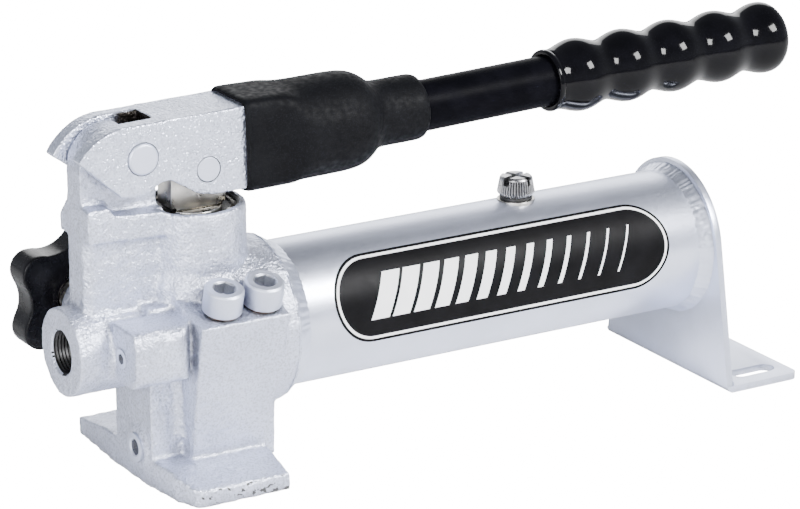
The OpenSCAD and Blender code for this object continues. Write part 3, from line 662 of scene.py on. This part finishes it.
def grip():
    """The vinyl grip: a lip, five lobes and a domed end, as radii along the tube."""
    first, pitch, crest, valley, dome = 16.0, 23.8, 15.45, 12.8, 9.9
    last, lip_end, power = first + 4 * pitch, 3.0, 2 / 2.3
    lip = [(HANDLE_R + 0.1, 4.0), (HANDLE_R + 0.15, 0.0), (13.0, 0.0), (13.2, 1.6), (12.6, 2.9)]
    profile = fillet(lip, 0.7)
    for k in range(1, 141):
        s = lip_end + (last - lip_end) * k / 140
        swell = (math.cos(math.pi * (s - first) / pitch) ** 2 + 0.004) ** 0.88
        profile.append((min(crest, valley + (crest - valley) * swell), s))
    for k in range(1, 25):
        a = math.pi / 2 * k / 24
        profile.append((crest * max(math.cos(a), 0.0) ** power, last + dome * math.sin(a) ** power))
    mesh = lathe("grip", profile, HANDLE @ moved(0, 0, GRIP_START), 128)
    piece("grip", mesh, "lever", ["handle_grip"], LOOKS["grip_vinyl"])


# ---- reservoir ----
def reservoir():
    """The tube, with the filler's hole."""
    inner = TUBE_R - TUBE_WALL
    outline = [(inner, TUBE_START), (TUBE_R, TUBE_START), (TUBE_R, BRACKET_X), (inner, BRACKET_X)]
    mesh = lathe("tube", fillet(outline, 0.4), moved(0, 0, TUBE_Z) @ ALONG_X, 192, True)
    mesh = cut(mesh, [bore(moved(FILLER_X, 0, TUBE_Z), [(FILLER_R, 0), (FILLER_R, 60)], 0.05)])
    piece("reservoir_shell", mesh, "pump", ["reservoir_tube"], LOOKS["silver_paint"])


def weld_bead(name, node, x, width, top, seed):
    """A hand-laid fillet weld under paint: a wavering bead with uneven ripples."""
    side = 1 if width > 0 else -1
    around, across, overlap, root = 480, 14, 1.6, TUBE_R - 0.3
    rings = []
    for k in range(around):
        a = 2 * math.pi * k / around
        here = Vector((math.cos(a) * 4, math.sin(a) * 4, seed))
        waver = noise.noise(here)
        ripple = math.sin(58 * a + 7 * noise.noise(here * 1.3)) * (0.6 + 0.6 * noise.noise(here * 2.1))
        ring = [(x - side * overlap, -root * math.sin(a), TUBE_Z + root * math.cos(a))]
        for m in range(across + 1):
            t = m / across
            bulge = math.sin(math.pi * min(1.0, 0.12 + 0.88 * t))
            lump = noise.noise(Vector((here.x * 4.6, here.y * 4.6, 4.0 * t + seed)))
            skin = bulge * (0.35 + 0.12 * ripple + 0.25 * waver + 0.25 * lump)
            r = TUBE_R + (top - TUBE_R) * (1 - t) ** 1.25 + skin
            drift = (0.6 * waver + 0.25 * ripple) * t
            along = x - side * overlap + side * ((abs(width) + overlap) * t + drift)
            ring.append((along, -r * math.sin(a), TUBE_Z + r * math.cos(a)))
        ring.append((ring[-1][0], -root * math.sin(a), TUBE_Z + root * math.cos(a)))
        rings.append(ring)
    mesh = loft(name, rings, closed=True)
    piece(name, mesh, "pump", [node], LOOKS["silver_paint"], 60)


def rear_bracket():
    mesh = bevelled("rear_bracket", 0.45)
    piece("bracket_plate", mesh, "pump", ["rear_bracket"], LOOKS["silver_paint"], 30)


def label():
    """The film on the side of the reservoir, bent round it, with its picture laid out flat."""
    radius, tilt, rows, columns = TUBE_R + 0.16, 19.5, 48, 90
    verts, uvs, faces = [], [], []
    for i in range(rows + 1):
        h = LABEL_H * -math.cos(math.pi * i / rows)
        reach = math.sqrt(max(LABEL_H ** 2 - h ** 2, 0.0))
        left, right = LABEL_H - reach, LABEL_W - LABEL_H + reach
        a = math.radians(tilt) + math.asin(h / (TUBE_R + 0.4))
        for k in range(columns + 1):
            x = left + (right - left) * k / columns
            verts.append((LABEL_START + x, -radius * math.cos(a), TUBE_Z + radius * math.sin(a)))
            uvs.append((x / LABEL_W, h / (2 * LABEL_H) + 0.5))
    for i in range(rows):
        for k in range(columns):
            a = i * (columns + 1) + k
            faces.append((a, a + 1, a + columns + 2, a + columns + 1))
    mesh = mesh_of("label", verts, faces)
    layer = mesh.uv_layers.new(name="film")
    for loop in mesh.loops:
        layer.data[loop.index].uv = uvs[loop.vertex_index]
    mesh = cooked(mesh, ("SOLIDIFY", {"thickness": 0.13 * MM, "offset": -1.0}))
    piece("label_film_piece", mesh, "pump", ["label"], LOOKS["label_film"])


def filler():
    """The filler cap: a tapered head with straight knurling and a cross slot."""
    place = moved(FILLER_X, 0, TUBE_Z + 31.8)

    def knurl(a, r, z):
        ridge = 0.5 + 0.5 * math.cos(40 * a)
        deep = 0.75 if 1.2 < z < 7.4 and r > 6.5 else 0.0
        return max(r, 0.01) - deep * (1 - ridge) ** 1.3

    corners = [(0, -8.8), (4.9, -8.8), (4.9, 0), (6.6, 0), (8.05, 1.6), (6.95, 7.7), (6.2, 8.6), (0, 8.6)]
    outline = fillet(corners, 0.45)
    dense = []
    for (r0, z0), (r1, z1) in zip(outline, outline[1:]):
        steps = max(1, int(abs(z1 - z0) / 0.5)) if r0 > 6 and r1 > 6 else 1
        dense += [(r0 + (r1 - r0) * k / steps, z0 + (z1 - z0) * k / steps) for k in range(steps)]
    dense.append(outline[-1])
    mesh = lathe("cap", dense, place, 480, wobble=knurl)
    slots = []
    for turn in (20, 110):
        box = cooked(slot_box(20, 2.5, 6.4), ("BEVEL", {"width": 0.25 * MM, "segments": 2}))
        seat = place @ turned(turn, "Z") @ moved(0, 0, 8.3)
        box.transform(Matrix.Scale(MM, 4) @ seat @ Matrix.Scale(1 / MM, 4))
        slots.append(box)
    piece("filler_knob", cut(mesh, slots), "filler_cap", ["filler_cap"], CAP_STEEL, 30)
    base = lathe("seat", fillet([(5, -9.8), (8, -9.8), (8, -1.3), (5, -1.3)], 0.35), place, 96, True)
    piece("filler_seat", base, "pump", ["filler_boss"], LOOKS["steel"])


def slot_box(length, width, height):
    mesh = bpy.data.meshes.new("slot")
    bm = bmesh.new()
    bmesh.ops.create_cube(bm, size=1.0, matrix=Matrix.Diagonal((length * MM, width * MM, height * MM, 1)))
    bm.to_mesh(mesh)
    bm.free()
    return mesh


# ---- machined parts ----
def machined_parts():
    """Small turned and milled parts: piece, body, CAD node, slot, material and edge break."""
    rows = [("piston_rod", "piston", "piston", "steel", LOOKS["steel"], 0.5),
            ("gland_ring", "pump", "gland_nut", "dark_steel", LOOKS["dark_steel"], 0.3),
            ("pivot_pin_ends", "pump", "pivot_pin", "silver_paint", SCREW_PAINT, 0.4),
            ("piston_pin_ends", "lever", "piston_pin", "silver_paint", SCREW_PAINT, 0.35),
            ("valve_screw_pair", "pump", "valve_screws", "silver_paint", SCREW_PAINT, 0.35),
            ("valve_washer_pair", "pump", "valve_washers", "copper", LOOKS["copper"], 0.15),
            ("relief_screw_body", "relief_screw", "relief_screw", "steel", SCREW_PAINT, 0.25),
            ("front_plug_body", "pump", "front_plug", "steel", SCREW_PAINT, 0.3),
            ("release_hub_body", "release_knob", "release_hub", "steel", LOOKS["steel"], 0.35),
            ("release_rod", "release_knob", "release_spindle", "steel", LOOKS["steel"], 0.3),
            ("release_gland_body", "pump", "release_gland", "steel", LOOKS["steel"], 0.35)]
    # the screw sockets get the darker copy of the paint as painted shade
    sockets = {"valve_screws": [(valve_place(i), 4.9, 5.9, 10.9) for i in (0, 1)],
               "relief_screw": [(moved(*RELIEF) @ ALONG_X, 2.3, -0.1, 2.9)],
               "front_plug": [(moved(*PLUG) @ ALONG_X, 3.35, -1.5, 2.3)],
               # painted shade: the band of the piston level with the mouth is dark steel
               "piston": [(moved(0, 0, 0), 12.6, 110.6, 111.9)]}
    for name, body, node, slot, material, width in rows:
        mesh = bevelled(node, width)
        if node in sockets:
            paint_bores(mesh, sockets[node])
        # the second material is painted shade: dark steel on the piston's band, the darker paint in the
        # sockets
        inner = LOOKS["dark_steel"] if node == "piston" else SOCKET_SHADE_PAINT
        piece(name, mesh, body, [node], [material, inner], 30)


def star_knob():
    mesh = cast("release_knob", 0.55, 14, [], 0.05, 9.0)
    piece("star_knob", mesh, "release_knob", ["release_knob"], LOOKS["knob_plastic"], 60)


# ---- camera, floor and light ----
def aim(obj, target):
    obj.rotation_mode = "QUATERNION"
    obj.rotation_quaternion = (Vector(target) - obj.location).to_track_quat("-Z", "Y")


def make_camera():
    """The viewing angle of the picture: from the left front, a little above."""
    azimuth, elevation, distance = math.radians(-31.0), math.radians(18.3), 1.448
    target = Vector((0.0963, 0.0, 0.0731))
    back = Vector((math.sin(azimuth) * math.cos(elevation),
                   -math.cos(azimuth) * math.cos(elevation), math.sin(elevation)))
    data = bpy.data.cameras.new("camera")
    data.sensor_width = 36
    data.lens = 157.6
    data.clip_start, data.clip_end = 0.05, 50
    camera = bpy.data.objects.new("camera", data)
    camera.location = target + back * distance
    aim(camera, target)
    bpy.context.scene.collection.objects.link(camera)
    bpy.context.scene.camera = camera


def make_floor():
    """A plain floor: white to the camera, and a dim bounce of light to the object."""
    mesh = bpy.data.meshes.new("floor")
    size = 6.0
    corners = [(-size, -size, 0), (size, -size, 0), (size, size, 0), (-size, size, 0)]
    mesh.from_pydata(corners, [], [(0, 1, 2, 3)])
    floor = bpy.data.objects.new("floor", mesh)
    floor.location.z = CAD_BOX[0].z
    bpy.context.scene.collection.objects.link(floor)
    material = bpy.data.materials.new("floor")
    material.use_nodes = True
    tree = material.node_tree
    shader = tree.nodes["Principled BSDF"]
    shader.inputs["Base Color"].default_value = (0.9, 0.9, 0.9, 1)
    shader.inputs["Roughness"].default_value = 0.8
    glow = tree.nodes.new("ShaderNodeEmission")
    path = tree.nodes.new("ShaderNodeLightPath")
    level = tree.nodes.new("ShaderNodeMapRange")
    level.inputs["To Min"].default_value = 0.08
    level.inputs["To Max"].default_value = CAMERA_WHITE
    both = tree.nodes.new("ShaderNodeAddShader")
    tree.links.new(path.outputs["Is Camera Ray"], level.inputs["Value"])
    tree.links.new(level.outputs["Result"], glow.inputs["Strength"])
    tree.links.new(shader.outputs["BSDF"], both.inputs[0])
    tree.links.new(glow.outputs["Emission"], both.inputs[1])
    tree.links.new(both.outputs["Shader"], tree.nodes["Material Output"].inputs["Surface"])
    mesh.materials.append(material)


def area_light(name, place, target, width, height, watts):
    data = bpy.data.lights.new(name, "AREA")
    data.shape = "RECTANGLE"
    data.size, data.size_y = width, height
    data.energy = watts
    light = bpy.data.objects.new(name, data)
    light.location = Vector(place)
    light.visible_camera = False
    aim(light, target)
    bpy.context.scene.collection.objects.link(light)


def make_world():
    """White to the camera; to the object, a studio with bright walls and a dim ceiling."""
    world = bpy.data.worlds.new("studio")
    bpy.context.scene.world = world
    world.use_nodes = True
    tree = world.node_tree
    studio = tree.nodes["Background"]
    white = tree.nodes.new("ShaderNodeBackground")
    white.inputs["Color"].default_value = (1, 1, 1, 1)
    white.inputs["Strength"].default_value = CAMERA_WHITE
    studio.inputs["Strength"].default_value = 0.85
    mix = tree.nodes.new("ShaderNodeMixShader")
    path = tree.nodes.new("ShaderNodeLightPath")
    coords = tree.nodes.new("ShaderNodeTexCoord")
    height = tree.nodes.new("ShaderNodeSeparateXYZ")
    ramp = tree.nodes.new("ShaderNodeValToRGB")
    stops = ((0.0, 1.0), (0.12, 1.0), (0.38, 0.68), (0.62, 0.40), (1.0, 0.34))
    ramp.color_ramp.elements.remove(ramp.color_ramp.elements[1])
    for i, (place, level) in enumerate(stops):
        stop = ramp.color_ramp.elements[0] if i == 0 else ramp.color_ramp.elements.new(place)
        stop.color = (level * 0.96, level, level * 1.08, 1)
    tree.links.new(coords.outputs["Generated"], height.inputs[0])
    tree.links.new(height.outputs["Z"], ramp.inputs["Fac"])
    tree.links.new(ramp.outputs["Color"], studio.inputs["Color"])
    tree.links.new(path.outputs["Is Camera Ray"], mix.inputs["Fac"])
    tree.links.new(studio.outputs["Background"], mix.inputs[1])
    tree.links.new(white.outputs["Background"], mix.inputs[2])
    tree.links.new(mix.outputs["Shader"], tree.nodes["World Output"].inputs["Surface"])


dress_cad_nodes()
head()
lever()
sleeve()
handle_bar()
grip()
reservoir()
weld_bead("front_weld_bead", "front_weld", COLLAR_END, 6.0, 34.3, 3.0)
weld_bead("rear_weld_bead", "rear_weld", BRACKET_X, -5.5, 33.6, 8.0)
rear_bracket()
label()
filler()
machined_parts()
star_knob()
make_camera()
make_floor()
make_world()
area_light("key", (-1.3, -1.1, 0.75), (0.0, 0, 0.08), 1.0, 1.0, 40)
area_light("spark", (0.62, -1.0, 0.95), (0.1, 0, 0.1), 0.45, 0.45, 44)
area_light("back", (0.80, 1.22, 0.56), (0.1, 0, 0.1), 1.3, 0.7, 9.5)
